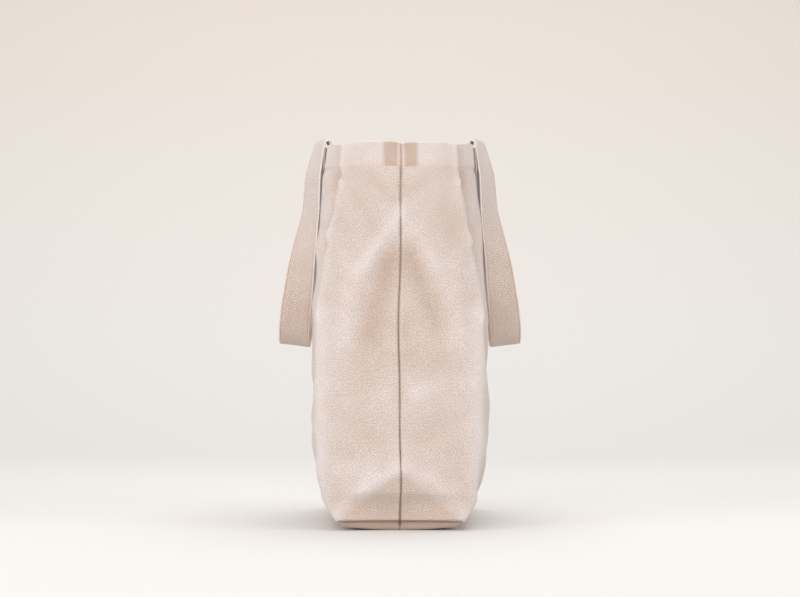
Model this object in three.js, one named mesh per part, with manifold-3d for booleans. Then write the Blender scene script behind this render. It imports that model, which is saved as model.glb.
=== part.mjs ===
// Canvas tote bag with a boxed base and two webbing handles folded over its rim.
//
// Millimetres, +Z up. The origin is on the ground under the middle of the bag.
// X runs through the bag from its front (-X) to its back (+X), and Y along its length.
// Right and left are as someone facing the front sees them: the right end is at -Y.

import * as THREE from 'three';
import { mergeVertices } from 'three/addons/utils/BufferGeometryUtils.js';
import Module from 'manifold-3d';

// ---- driving dimensions ----

const bagHeight = 390;          // ground to rim
const flatWidth = 431;          // mouth pressed flat, which is half the girth of the cloth
const boxDepth = 131;           // length of each boxed-corner seam
const cornerLift = 9;           // how far the boxed corners stand off the ground
const bellyDepth = 182;         // front to back where the bag is fullest
const bellyHeight = 160;        // height of that fullest level
const bellyEndDepth = 182;      // the same, measured at the two ends
const mouthDepth = 158;         // front to back at the middle of the rim
const mouthEndDepth = 115;      // front to back at the two ends of the rim
const seamTuck = 11;            // how far the rim's ends are drawn in at the side seams
const tuckHeight = 80;          // height of the stretch below the rim that is drawn in

const canvas = 1.2;             // thickness of the body cloth
const hemHeight = 25;
const hemLayers = 2;            // body cloth and its turned-in edge
const allowance = 10;           // cloth beyond each seam, inside the bag
const boxLevel = 30;            // height over which the base's square corners round off
const clipLength = 30;          // how far the allowances are cut back from each boxed corner
const hemClear = 3;             // the side allowances end this far below the hem

const strapWidth = 32;
const strapThickness = 2;
const handleSpacing = 150;      // between the middles of one handle's two ends
const handleDrop = 206;         // rim to the middle of the hanging loop
const loopRound = 85;           // height of the round stretch at the bottom of the loop
const loopFlat = 24;            // flat stretch in the middle of the loop, where it is held
const loopTilt = 7.3;           // degrees by which the loop's outer edge is raised
const rimClear = 2;             // webbing stops this far below the rim, where the strap bends

const thread = 0.6;             // thickness of sewing thread
const seamGap = 0.3;            // between pieces that lie on each other
const stitchInset = 4;          // box stitching to the edges of the webbing
const threadGap = 0.5;          // between surface stitching and the cloth under it
const overlockReach = 5;        // how far the overlock thread reaches back over an allowance

// ---- sizes that follow ----

const hemStart = bagHeight - hemHeight;
const hemThickness = canvas * hemLayers;
const handleGirth = (flatWidth - handleSpacing) / 2;    // along the cloth, from the side seam
const endTop = bagHeight - rimClear;                    // the webbing end fills the hem below this

// ---- resolution ----

const endColumns = 6;           // across half of an end
const frontColumns = 16;        // along the front
const wallRows = 11;            // from the boxed corners up to the hem
const outlineSteps = 96;        // along a quarter of the outline, before it is divided
const strapSteps = 24;          // along half a handle

// ---- materials ----

const cloth = new THREE.MeshStandardMaterial({ color: 0xdcc8b8, roughness: 0.92, metalness: 0 });
const webbing = new THREE.MeshStandardMaterial({ color: 0xcdb49f, roughness: 0.95, metalness: 0 });
const sewing = new THREE.MeshStandardMaterial({ color: 0xe6dccb, roughness: 0.8, metalness: 0 });

// ---- small helpers ----

const smooth = (t) => THREE.MathUtils.smoothstep(t, 0, 1);
const mix = THREE.MathUtils.lerp;
const point = (x, y, z) => new THREE.Vector3(x, y, z);

// Two triangles, without the one whose corners meet where a strip tapers to nothing.
function pushQuad(faces, a, b, c, d) {
  for (const face of [[a, b, c], [a, c, d]]) {
    if (new Set(face).size === 3) {
      faces.push(face);
    }
  }
}

function geometryFrom(points, faces) {
  const geometry = new THREE.BufferGeometry();
  const numbers = points.flatMap((p) => [p.x, p.y, p.z]);
  geometry.setAttribute('position', new THREE.Float32BufferAttribute(numbers, 3));
  geometry.setIndex(faces.flat());
  return geometry;
}

// A solid whose sections are loops of points, all with the same number of points.
// It closes on itself, or it is capped at both ends.
function loft(sections, closed = false) {
  const count = sections[0].length;
  const points = sections.flat();
  const faces = [];
  const spans = closed ? sections.length : sections.length - 1;
  for (let i = 0; i < spans; i += 1) {
    const next = (i + 1) % sections.length;
    for (let k = 0; k < count; k += 1) {
      const j = (k + 1) % count;
      pushQuad(faces, i * count + k, i * count + j, next * count + j, next * count + k);
    }
  }
  if (!closed) {
    const last = (sections.length - 1) * count;
    for (const [a, b, c] of capFaces(sections[0])) {
      faces.push([a, c, b]);
      faces.push([last + a, last + b, last + c]);
    }
  }
  return outward(geometryFrom(points, faces));
}

// Triangles across a flat loop, which may be hollow on one side like a U.
function capFaces(loop) {
  const normal = point(0, 0, 0);
  loop.forEach((p, k) => normal.add(p.clone().cross(loop[(k + 1) % loop.length])));
  const across = loop[1].clone().sub(loop[0]).normalize();
  const up = normal.clone().normalize().cross(across);
  const flat = loop.map((p) => new THREE.Vector2(p.dot(across), p.dot(up)));
  return THREE.ShapeUtils.triangulateShape(flat, []);
}

// Turns every face over if the solid is inside out.
function outward(geometry) {
  const position = geometry.attributes.position;
  const index = geometry.index.array;
  const corner = (k) => new THREE.Vector3().fromBufferAttribute(position, index[k]);
  let volume = 0;
  for (let k = 0; k < index.length; k += 3) {
    volume += corner(k).dot(corner(k + 1).cross(corner(k + 2)));
  }
  if (volume < 0) {
    for (let k = 0; k < index.length; k += 3) {
      [index[k + 1], index[k + 2]] = [index[k + 2], index[k + 1]];
    }
  }
  return geometry;
}

// The same solid on the other side of a plane through the origin: 'x' or 'y' changes sign.
function mirrored(geometry, axis) {
  const copy = geometry.clone();
  copy.scale(axis === 'x' ? -1 : 1, axis === 'y' ? -1 : 1, 1);
  return outward(copy);
}

// ---- the shape that the cloth takes ----

// Rises from 0 at the rim to 1 at the belly.
function fullness(z) {
  const below = THREE.MathUtils.clamp((bagHeight - z) / (bagHeight - bellyHeight), 0, 1);
  return Math.sin((Math.PI / 2) * below ** 1.2);
}

// Rises from 0 at the boxed corners to 1 at the belly.
function footing(z) {
  const above = THREE.MathUtils.clamp((z - cornerLift) / (bellyHeight - cornerLift), 0, 1);
  return 1 - (1 - above) ** 4.5;
}

function halfDepth(z, mouth, belly) {
  const top = mix(mouth, belly, fullness(z));
  return mix(boxDepth, top, footing(z)) / 2;
}

// A quarter of the outline at one height, from the right side seam to the middle of the front:
// a rounded rectangle that narrows towards the ends, with its ends drawn in at the seam.
function quarterOutline(z, halfLength) {
  const middle = halfDepth(z, mouthDepth, bellyDepth);
  const end = halfDepth(z, mouthEndDepth, bellyEndDepth);
  const squareness = mix(40, 6, smooth((z - cornerLift) / boxLevel));
  const tuck = seamTuck * smooth((z - bagHeight + tuckHeight) / tuckHeight);
  const corner = 0.5 ** (1 / squareness);
  const partner = (share) => (1 - share ** squareness) ** (1 / squareness);
  const outline = [];
  for (let k = 0; k <= outlineSteps; k += 1) {
    const share = (2 * k) / outlineSteps;
    const out = share < 1 ? corner * share : partner(corner * (2 - share));
    const along = share < 1 ? partner(corner * share) : corner * (2 - share);
    const narrowed = middle * (1 - (1 - end / middle) * along ** 3);
    const drawnIn = tuck * along ** 8 * (1 - Math.min(out, 1));
    outline.push(new THREE.Vector2(-narrowed * out, -halfLength * along + drawnIn));
  }
  return outline;
}

function pathLength(outline) {
  return outline.slice(1).reduce((sum, p, k) => sum + p.distanceTo(outline[k]), 0);
}

// The girth of the cloth is the same at every height, and that settles the bag's length there.
function clothOutline(z) {
  let low = flatWidth / 8;
  let high = flatWidth;
  for (let k = 0; k < 30; k += 1) {
    const tried = (low + high) / 2;
    if (pathLength(quarterOutline(z, tried)) < flatWidth / 2) {
      low = tried;
    } else {
      high = tried;
    }
  }
  return quarterOutline(z, low);
}

// Each height's outline is worked out once.
const outlines = new Map();
function outlineAt(z) {
  if (!outlines.has(z)) {
    outlines.set(z, clothOutline(z));
  }
  return outlines.get(z);
}

// A point of the front panel's outer face: girth is the distance along the cloth from the
// right side seam, up to flatWidth at the left one, and inset is how far inside it lies.
function frontPoint(girth, z, inset = 0) {
  const half = flatWidth / 2;
  const reach = girth > half ? flatWidth - girth : girth;
  const outline = outlineAt(z);
  let left = Math.max(reach, 0);
  let k = 1;
  while (k < outline.length - 1 && left > outline[k].distanceTo(outline[k - 1])) {
    left -= outline[k].distanceTo(outline[k - 1]);
    k += 1;
  }
  const step = outline[k].clone().sub(outline[k - 1]);
  const inward = new THREE.Vector2(-step.y, step.x).normalize().negate();
  const place = outline[k - 1].clone().addScaledVector(step, left / step.length());
  place.addScaledVector(inward, inset);
  const x = Math.min(place.x, -seamGap / 2);
  return point(x, girth > half ? -place.y : place.y, z);
}

// How high the base stands: flat on the ground in the middle, and lifted at its edges.
function baseHeight(acrossShare, alongShare) {
  const side = smooth((acrossShare - 0.66) / 0.34);
  const end = smooth((alongShare - 0.82) / 0.18);
  return cornerLift * (1 - (1 - side) * (1 - end));
}

// ---- body panels ----

// Where the panel's columns lie along the cloth: across half an end, the front, and half the
// other end.
const panelGirths = [0];
for (const [width, columns] of [
  [boxDepth / 2, endColumns],
  [flatWidth - boxDepth, frontColumns],
  [boxDepth / 2, endColumns],
]) {
  const start = panelGirths[panelGirths.length - 1];
  for (let k = 1; k <= columns; k += 1) {
    panelGirths.push(start + width * (k / columns));
  }
}

// The heights of the panel's rows. The hem starts with a step, so two rows lie close together.
function panelHeights() {
  const lower = [0, clipLength / 6, clipLength / 2.5, clipLength / 1.4, clipLength];
  const heights = lower.map((above) => cornerLift + above);
  const start = cornerLift + clipLength;
  for (let k = 1; k <= wallRows; k += 1) {
    heights.push(mix(start, hemStart - hemClear, k / wallRows));
  }
  heights.push(hemStart - canvas / 2, hemStart, hemStart + hemHeight / 2, bagHeight);
  return heights;
}

// The front panel is one cut of canvas: the front, half of each end and half of the base,
// with its seam allowances turned in. This is its outer skin, as points and triangles.
function panelSkin() {
  const points = [];
  const cloths = [];
  const faces = [];
  const add = (place, layers = 1) => {
    points.push(place);
    cloths.push(canvas * layers);
    return points.length - 1;
  };

  const heights = panelHeights();
  const wall = heights.map((z) => panelGirths.map((girth) => (
    add(frontPoint(girth, z), z < hemStart ? 1 : hemLayers)
  )));
  for (let r = 0; r + 1 < wall.length; r += 1) {
    for (let k = 0; k + 1 < panelGirths.length; k += 1) {
      pushQuad(faces, wall[r][k], wall[r][k + 1], wall[r + 1][k + 1], wall[r + 1][k]);
    }
  }

  addBase(faces, points, add, wall[0]);
  addSideAllowances(faces, points, add, wall, heights);
  return { points, cloths, faces };
}

// A point of the base: i columns out from the base seam, and j columns along it.
function basePoint(i, j) {
  const corner = frontPoint(panelGirths[endColumns], cornerLift);
  const end = frontPoint(panelGirths[i], cornerLift);
  const side = frontPoint(panelGirths[endColumns + j], cornerLift);
  const x = end.x * (side.x / corner.x);
  const y = side.y * (end.y / corner.y);
  return point(x, y, baseHeight(x / corner.x, Math.abs(y / corner.y)));
}

// The base seam's allowance is cut back at both ends, where the boxed corners begin.
function isRaised(j) {
  return Math.abs(basePoint(0, j).y) < Math.abs(basePoint(0, 0).y) - clipLength;
}

// Half of the base, between the bottom row of the wall and the base seam, and its allowance.
function addBase(faces, points, add, bottomRow) {
  const base = [];
  for (let i = 0; i <= endColumns; i += 1) {
    const row = [];
    for (let j = 0; j <= frontColumns; j += 1) {
      if (i === endColumns) {
        row.push(bottomRow[endColumns + j]);
      } else if (j === 0) {
        row.push(bottomRow[i]);
      } else if (j === frontColumns) {
        row.push(bottomRow[bottomRow.length - 1 - i]);
      } else {
        row.push(add(basePoint(i, j)));
      }
    }
    base.push(row);
  }
  for (let i = 0; i < endColumns; i += 1) {
    for (let j = 0; j < frontColumns; j += 1) {
      pushQuad(faces, base[i][j], base[i][j + 1], base[i + 1][j + 1], base[i + 1][j]);
    }
  }
  const seam = base[0];
  const raised = seam.map((index, j) => {
    const foot = points[index];
    return isRaised(j) ? add(foot.clone().setZ(foot.z + allowance)) : index;
  });
  for (let j = 0; j < frontColumns; j += 1) {
    pushQuad(faces, raised[j], raised[j + 1], seam[j + 1], seam[j]);
  }
}

// The side allowances are cut back from the boxed corners, and end under the hem.
function hasAllowance(z) {
  return z >= cornerLift + clipLength && z <= hemStart - hemClear;
}

// The edges of the panel that are turned in at the two side seams, up to the hem.
function addSideAllowances(faces, points, add, wall, heights) {
  for (const column of [0, wall[0].length - 1]) {
    const turned = wall.map((row, r) => {
      const seam = points[row[column]];
      const inner = seam.clone().setY(seam.y - Math.sign(seam.y) * allowance);
      return hasAllowance(heights[r]) ? add(inner) : row[column];
    });
    for (let r = 0; r + 1 < wall.length; r += 1) {
      const low = [turned[r], wall[r][column]];
      const high = [turned[r + 1], wall[r + 1][column]];
      if (column > 0) {
        low.reverse();
        high.reverse();
      }
      pushQuad(faces, low[0], low[1], high[1], high[0]);
    }
  }
}

// Gives a skin its thickness on the side that its faces look to. Each point moves along the
// mean of the faces round it, and further at a fold, so that every face keeps its thickness.
function thickened({ points, cloths, faces }) {
  const means = points.map(() => point(0, 0, 0));
  const corners = [];
  for (const face of faces) {
    const [a, b, c] = face.map((k) => points[k]);
    const normal = b.clone().sub(a).cross(c.clone().sub(a)).normalize();
    face.forEach((index, k) => {
      const here = points[index];
      const after = points[face[(k + 1) % 3]].clone().sub(here);
      const before = points[face[(k + 2) % 3]].clone().sub(here);
      const angle = after.angleTo(before);
      means[index].addScaledVector(normal, angle);
      corners.push({ index, normal, angle });
    });
  }
  means.forEach((mean) => mean.normalize());
  const facing = points.map(() => ({ sum: 0, angle: 0 }));
  for (const { index, normal, angle } of corners) {
    facing[index].sum += angle * normal.dot(means[index]);
    facing[index].angle += angle;
  }
  const inner = points.map((place, k) => {
    const stretch = facing[k].angle / facing[k].sum;
    return place.clone().addScaledVector(means[k], cloths[k] * stretch);
  });

  const count = points.length;
  const edges = new Set(faces.flatMap(([a, b, c]) => [`${a},${b}`, `${b},${c}`, `${c},${a}`]));
  const solid = [];
  for (const [a, b, c] of faces) {
    solid.push([a, c, b], [count + a, count + b, count + c]);
    for (const [from, to] of [[a, b], [b, c], [c, a]]) {
      if (!edges.has(`${to},${from}`)) {
        pushQuad(solid, count + to, count + from, from, to);
      }
    }
  }
  return outward(geometryFrom([...points, ...inner], solid));
}

// ---- seam allowances of the boxed corners ----

const flapRise = THREE.MathUtils.degToRad(12);    // the flap slopes up from its seam
const flapAlong = point(0, Math.cos(flapRise), Math.sin(flapRise));
const flapAcross = point(0, -Math.sin(flapRise), Math.cos(flapRise));
const flapEnd = boxDepth / 2 - allowance;         // where the flap stops short of the corner

// The middle of the flap where it leaves the seam, at a distance from the side seam.
function flapRoot(distance) {
  const seam = frontPoint(distance, cornerLift);
  return point(seam.x, seam.y + canvas / 2, seam.z + canvas / 2).addScaledVector(flapAcross, canvas);
}

// The end's and the base's turned-in edges, lying on each other as a flap inside the bag.
function cornerFlap() {
  const sections = [];
  for (let k = 0; k <= endColumns; k += 1) {
    const root = flapRoot(flapEnd * (k / endColumns));
    const tip = root.clone().addScaledVector(flapAlong, allowance);
    sections.push([
      root.clone().addScaledVector(flapAcross, -canvas),
      tip.clone().addScaledVector(flapAcross, -canvas),
      tip.clone().addScaledVector(flapAcross, canvas),
      root.clone().addScaledVector(flapAcross, canvas),
    ]);
  }
  return loft(sections);
}

// ---- joining solids ----

const wasm = await Module();
wasm.setup();

function toManifold(geometry) {
  const bare = geometry.clone();
  bare.deleteAttribute('normal');
  bare.deleteAttribute('uv');
  const merged = mergeVertices(bare, 1e-4);
  return new wasm.Manifold(new wasm.Mesh({
    numProp: 3,
    vertProperties: new Float32Array(merged.attributes.position.array),
    triVerts: new Uint32Array(merged.index.array),
  }));
}

function joined(...geometries) {
  const solids = geometries.map(toManifold);
  const result = solids.slice(1).reduce((sum, solid) => sum.add(solid), solids[0]).getMesh();
  const geometry = new THREE.BufferGeometry();
  geometry.setAttribute('position', new THREE.Float32BufferAttribute(result.vertProperties, 3));
  geometry.setIndex([...result.triVerts]);
  return geometry;
}

function frontPanel() {
  const flap = cornerFlap();
  return joined(thickened(panelSkin()), flap, mirrored(flap, 'y'));
}

// ---- overlock thread over the seam allowances ----

// A U that wraps a free edge: along points to the edge from the seam, and across through it.
function sleeveSection(edge, along, across, halfThickness) {
  const inside = halfThickness + seamGap;
  const outside = inside + thread;
  const outline = [
    [-overlockReach, outside],
    [seamGap + thread, outside],
    [seamGap + thread, -outside],
    [-overlockReach, -outside],
    [-overlockReach, -inside],
    [seamGap, -inside],
    [seamGap, inside],
    [-overlockReach, inside],
  ];
  return outline.map(([a, b]) => (
    edge.clone().addScaledVector(along, a).addScaledVector(across, b)
  ));
}

const twoLayers = canvas + seamGap / 2;
const xAxis = point(1, 0, 0);
const yAxis = point(0, 1, 0);
const zAxis = point(0, 0, 1);

// The points of a path, with each end drawn in by a short distance.
function shortened(path, distance) {
  const draw = (from, to) => from.clone().addScaledVector(to.clone().sub(from).normalize(), distance);
  const last = path.length - 1;
  return [draw(path[0], path[1]), ...path.slice(1, last), draw(path[last], path[last - 1])];
}

function sideSeamThread() {
  const edges = panelHeights().filter(hasAllowance).map((z) => (
    point(0, frontPoint(0, z).y + allowance, z)
  ));
  return loft(shortened(edges, overlockReach).map((edge) => (
    sleeveSection(edge, yAxis, xAxis, twoLayers)
  )));
}

function cornerSeamThread() {
  const edges = [];
  for (let k = -endColumns; k <= endColumns; k += 1) {
    const tip = flapRoot(flapEnd * Math.abs(k / endColumns)).addScaledVector(flapAlong, allowance);
    edges.push(tip.setX(k === 0 ? 0 : -Math.sign(k) * tip.x));
  }
  return loft(shortened(edges, overlockReach).map((edge) => (
    sleeveSection(edge, flapAlong, flapAcross, canvas)
  )));
}

function baseSeamThread() {
  const edges = [];
  for (let j = 0; j <= frontColumns; j += 1) {
    if (isRaised(j)) {
      edges.push(basePoint(0, j).setX(0));
    }
  }
  edges.forEach((edge) => edge.setZ(edge.z + allowance));
  return loft(shortened(edges, overlockReach).map((edge) => (
    sleeveSection(edge, zAxis, xAxis, twoLayers)
  )));
}

// ---- stitching on the outside of the hem ----

function hemThread() {
  const section = (girth, side) => {
    const near = frontPoint(girth, hemStart, -threadGap);
    const far = frontPoint(girth, hemStart, -threadGap - thread);
    near.x *= side;
    far.x *= side;
    return [
      point(near.x, near.y, near.z - thread / 2),
      point(far.x, far.y, far.z - thread / 2),
      point(far.x, far.y, far.z + thread / 2),
      point(near.x, near.y, near.z + thread / 2),
    ];
  };
  const front = panelGirths.map((girth) => section(girth, 1));
  const back = panelGirths.map((girth) => section(girth, -1)).reverse();
  return loft([...front, ...back], true);
}

// A stitched box with a cross in it, laid on the outside of the hem over one webbing end.
function boxStitch() {
  const w = strapWidth / 2 - stitchInset;
  const h = (endTop - hemStart) / 2 - stitchInset;
  const bar = thread;
  const outline = new THREE.Shape([[-w, -h], [w, -h], [w, h], [-w, h]].map(([x, y]) => (
    new THREE.Vector2(x, y)
  )));
  const sideways = [[-w + bar, h - 2 * bar], [-w + bar, -h + 2 * bar], [-bar, 0]];
  const upward = [[-w + 2 * bar, h - bar], [0, bar], [w - 2 * bar, h - bar]];
  for (const hole of [sideways, upward]) {
    for (const flip of [1, -1]) {
      const corners = hole.map(([x, y]) => new THREE.Vector2(x * flip, y * flip));
      outline.holes.push(new THREE.Path(corners));
    }
  }
  const flat = new THREE.ExtrudeGeometry(outline, { depth: thread, bevelEnabled: false });
  const middle = (endTop + hemStart) / 2;
  const position = flat.attributes.position;
  for (let k = 0; k < position.count; k += 1) {
    const girth = handleGirth + position.getX(k);
    const z = middle + position.getY(k);
    const place = frontPoint(girth, z, -threadGap - position.getZ(k));
    position.setXYZ(k, place.x, place.y, place.z);
  }
  flat.deleteAttribute('normal');
  flat.deleteAttribute('uv');
  return outward(mergeVertices(flat, 1e-4));
}

// ---- handles ----

// The webbing end that is sewn down inside the hem.
function handleEnd() {
  const face = hemThickness + seamGap;
  const sections = [];
  const steps = 4;
  for (let k = 0; k <= steps; k += 1) {
    const girth = handleGirth + strapWidth * (k / steps - 0.5);
    sections.push([
      frontPoint(girth, endTop, face),
      frontPoint(girth, hemStart, face),
      frontPoint(girth, hemStart, face + strapThickness),
      frontPoint(girth, endTop, face + strapThickness),
    ]);
  }
  return loft(sections);
}

// The line in the rim's middle that the front handle swings about.
export const hinge = (() => {
  const rim = frontPoint(handleGirth, bagHeight, hemThickness / 2);
  return point(rim.x, 0, rim.z);
})();

// How the hanging strap leaves the rim: its share of the drop, the clearance between its inner
// edge and the panel, and its turn in degrees, from flat on the panel to edge on.
const strapStations = [
  [0.01, 2, 0],
  [0.05, 4.5, 18],
  [0.15, 3.5, 29],
  [0.33, 1.5, 34],
  [0.52, 1.2, 51],
  [0.7, 1.2, 70],
  [0.85, 1.8, 86],
  [1, 2.8, 90],
];

function stationAt(share) {
  const last = strapStations.length - 1;
  let k = 0;
  while (k < last - 1 && share > strapStations[k + 1][0]) {
    k += 1;
  }
  const [from, to] = [strapStations[k], strapStations[k + 1]];
  const t = THREE.MathUtils.clamp((share - from[0]) / (to[0] - from[0]), 0, 1);
  return { clear: mix(from[1], to[1], t), turn: THREE.MathUtils.degToRad(mix(from[2], to[2], t)) };
}

// Where the strap's middle line lies outwards, so that both of its edges clear the panel.
function strapReach(y, z, clear, turn) {
  const half = strapWidth / 2;
  const reaches = [-1, 1].map((edge) => {
    const girth = flatWidth / 2 - Math.abs(y) + edge * half * Math.cos(turn);
    return -frontPoint(girth, z).x - edge * half * Math.sin(turn);
  });
  return Math.max(...reaches) + clear + strapThickness / 2;
}

// The strap's middle line and turn at a share of the way from the rim to the loop's flat
// stretch. The first part hangs straight down, and the second is a quarter of an ellipse.
function strapPlace(share) {
  const legY = frontPoint(handleGirth, bagHeight).y;
  const straight = handleDrop - loopRound;
  const split = straight / (straight + loopRound);
  let drop = mix(rimClear, straight, share / split);
  let y = legY;
  if (share > split) {
    const angle = (Math.PI / 2) * ((share - split) / (1 - split));
    drop = straight + loopRound * Math.sin(angle);
    y = (legY + loopFlat / 2) * Math.cos(angle) - loopFlat / 2;
  }
  const z = bagHeight - drop;
  const { clear, turn } = stationAt(drop / handleDrop);
  return { place: point(-strapReach(y, z, clear, turn), y, z), turn };
}

function handleLoop() {
  const tilt = THREE.MathUtils.degToRad(loopTilt);
  const half = [];
  for (let k = 0; k <= strapSteps; k += 1) {
    const share = k / strapSteps;
    const { place, turn } = strapPlace(share);
    const before = strapPlace(Math.max(share - 0.01, 0)).place;
    const after = strapPlace(Math.min(share + 0.01, 1)).place;
    const along = share < 1 ? after.sub(before).normalize() : yAxis.clone();
    const out = point(-Math.cos(tilt), 0, Math.sin(tilt));
    out.addScaledVector(along, -along.dot(out)).normalize();
    const level = along.clone().cross(out);
    const width = level.multiplyScalar(Math.cos(turn)).addScaledVector(out, Math.sin(turn));
    const through = along.clone().cross(width);
    half.push([[-1, -1], [1, -1], [1, 1], [-1, 1]].map(([a, b]) => (
      place.clone()
        .addScaledVector(width, (a * strapWidth) / 2)
        .addScaledVector(through, (b * strapThickness) / 2)
    )));
  }
  const other = half.slice().reverse().map((section) => (
    section.map((p) => point(p.x, -p.y, p.z))
  ));
  return loft([...half, ...other]);
}

// ---- the bag ----

const bag = new THREE.Group();

function addPiece(name, geometry, material) {
  const mesh = new THREE.Mesh(geometry, material);
  mesh.name = name;
  bag.add(mesh);
}

const panel = frontPanel();
addPiece('front_panel', panel, cloth);
addPiece('back_panel', mirrored(panel, 'x'), cloth);

const loop = handleLoop();
addPiece('front_handle', loop, webbing);
addPiece('back_handle', mirrored(loop, 'x'), webbing);

const end = handleEnd();
const box = boxStitch();
for (const [side, flipX] of [['front', false], ['back', true]]) {
  for (const [hand, flipY] of [['right', false], ['left', true]]) {
    const place = (geometry) => {
      const turned = flipX ? mirrored(geometry, 'x') : geometry;
      return flipY ? mirrored(turned, 'y') : turned;
    };
    addPiece(`${side}_handle_end_${hand}`, place(end), webbing);
    addPiece(`${side}_handle_stitch_${hand}`, place(box), sewing);
  }
}

addPiece('hem_thread', hemThread(), sewing);
addPiece('side_seam_thread_right', sideSeamThread(), sewing);
addPiece('side_seam_thread_left', mirrored(sideSeamThread(), 'y'), sewing);
addPiece('corner_seam_thread_right', cornerSeamThread(), sewing);
addPiece('corner_seam_thread_left', mirrored(cornerSeamThread(), 'y'), sewing);
addPiece('base_seam_thread', baseSeamThread(), sewing);

export default bag;
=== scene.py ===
"""Canvas tote bag: cloth panels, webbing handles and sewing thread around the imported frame."""
import functools
import math

import bmesh
import bpy
import numpy as np
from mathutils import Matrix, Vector


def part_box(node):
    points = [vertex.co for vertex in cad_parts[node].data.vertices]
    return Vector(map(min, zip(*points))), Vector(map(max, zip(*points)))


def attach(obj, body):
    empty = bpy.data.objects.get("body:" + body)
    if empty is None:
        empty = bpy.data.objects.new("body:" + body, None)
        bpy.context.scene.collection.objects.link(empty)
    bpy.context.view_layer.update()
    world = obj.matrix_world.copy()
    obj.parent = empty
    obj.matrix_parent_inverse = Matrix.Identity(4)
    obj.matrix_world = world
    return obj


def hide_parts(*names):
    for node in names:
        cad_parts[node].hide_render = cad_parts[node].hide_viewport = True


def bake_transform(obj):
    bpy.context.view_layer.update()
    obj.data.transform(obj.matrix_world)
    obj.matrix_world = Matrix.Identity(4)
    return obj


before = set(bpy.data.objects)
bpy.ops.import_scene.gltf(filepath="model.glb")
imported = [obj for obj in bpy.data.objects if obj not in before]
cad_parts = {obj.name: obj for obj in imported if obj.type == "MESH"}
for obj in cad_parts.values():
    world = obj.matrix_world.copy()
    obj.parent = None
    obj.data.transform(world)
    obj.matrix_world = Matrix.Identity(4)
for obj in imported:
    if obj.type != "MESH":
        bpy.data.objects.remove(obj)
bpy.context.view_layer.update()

# ---- driving dimensions, in metres ----

MM = 0.001
BAG_HEIGHT = 390 * MM
FLAT_WIDTH = 431 * MM           # round one panel, from side seam to side seam
BOX_DEPTH = 131 * MM
CORNER_LIFT = 9 * MM            # height of the boxed corners' seams
BELLY_DEPTH = 182 * MM
BELLY_HEIGHT = 160 * MM
BELLY_END_DEPTH = 182 * MM
MOUTH_DEPTH = 158 * MM
MOUTH_END_DEPTH = 115 * MM
SEAM_TUCK = 11 * MM
TUCK_HEIGHT = 80 * MM
BOX_LEVEL = 30 * MM
CANVAS = 1.2 * MM
HEM_HEIGHT = 25 * MM
ALLOWANCE = 10 * MM
CLIP_LENGTH = 30 * MM
HEM_CLEAR = 3 * MM
SEAM_GAP = 0.3 * MM
STRAP_WIDTH = 32 * MM
STRAP_THICKNESS = 2 * MM
HANDLE_SPACING = 150 * MM
HANDLE_DROP = 206 * MM
LOOP_ROUND = 85 * MM
LOOP_FLAT = 24 * MM
LOOP_TILT = math.radians(7.3)
RIM_CLEAR = 2 * MM
STITCH_INSET = 4 * MM

HEM_START = BAG_HEIGHT - HEM_HEIGHT
HANDLE_GIRTH = (FLAT_WIDTH - HANDLE_SPACING) / 2
HALF_WIDTH = FLAT_WIDTH / 2
RIM_ROLL = CANVAS + 0.05 * MM   # radius of the fold along the rim

FLAP_RISE = math.radians(12)    # how steeply the boxed corners' allowances stand
FLAP_TONE = -0.1

GRID = 2.5 * MM                 # spacing of the cloth's columns and rows
FINE = 1.2 * MM                 # spacing in the hem
NEAR_SEAM = np.array([0, 0.5, 1.1, 1.8, 2.7, 3.8, 5.2, 7.0]) * MM
OUTLINE_STEPS = 96
OUTLINE_TRIES = 34              # halvings that fit the section's length to the panel's width


# ---- the bag's shape ----

def mix(a, b, t):
    return a + (b - a) * t


def smooth(t):
    t = np.clip(t, 0, 1)
    return t * t * (3 - 2 * t)


def nearness(distance, width):
    """1 at no distance, falling off over a width in mm."""
    return np.exp(-(distance / (width * MM)) ** 2)


def fullness(z):
    """0 at the rim, growing to 1 at the belly."""
    share = np.clip((BAG_HEIGHT - z) / (BAG_HEIGHT - BELLY_HEIGHT), 0, 1)
    return math.sin(math.pi / 2 * share ** 1.2)


def footing(z):
    """0 at the base, growing to 1 at the belly."""
    share = np.clip((z - CORNER_LIFT) / (BELLY_HEIGHT - CORNER_LIFT), 0, 1)
    return 1 - (1 - share) ** 4.5


def half_depth(z, mouth, belly):
    return mix(BOX_DEPTH, mix(mouth, belly, fullness(z)), footing(z)) / 2


def quarter_outline(z, half_length):
    """A quarter of the bag's level section, from the right side seam to the front's middle."""
    middle = half_depth(z, MOUTH_DEPTH, BELLY_DEPTH)
    end = half_depth(z, MOUTH_END_DEPTH, BELLY_END_DEPTH)
    squareness = mix(40, 6, smooth((z - CORNER_LIFT) / BOX_LEVEL))
    tuck = SEAM_TUCK * smooth((z - BAG_HEIGHT + TUCK_HEIGHT) / TUCK_HEIGHT)
    corner = 0.5 ** (1 / squareness)

    def partner(share):
        return (1 - np.clip(share, 0, 1) ** squareness) ** (1 / squareness)

    share = 2 * np.arange(OUTLINE_STEPS + 1) / OUTLINE_STEPS
    out = np.where(share < 1, corner * share, partner(corner * (2 - share)))
    along = np.where(share < 1, partner(corner * share), corner * (2 - share))
    narrowed = middle * (1 - (1 - end / middle) * along ** 3)
    drawn_in = tuck * along ** 8 * (1 - np.minimum(out, 1))
    return np.stack([-narrowed * out, -half_length * along + drawn_in], axis=1)


def unit(vectors):
    return vectors / np.linalg.norm(vectors, axis=-1, keepdims=True)


def path_lengths(points):
    steps = np.linalg.norm(np.diff(points, axis=0), axis=1)
    return np.concatenate([[0], np.cumsum(steps)])


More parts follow.
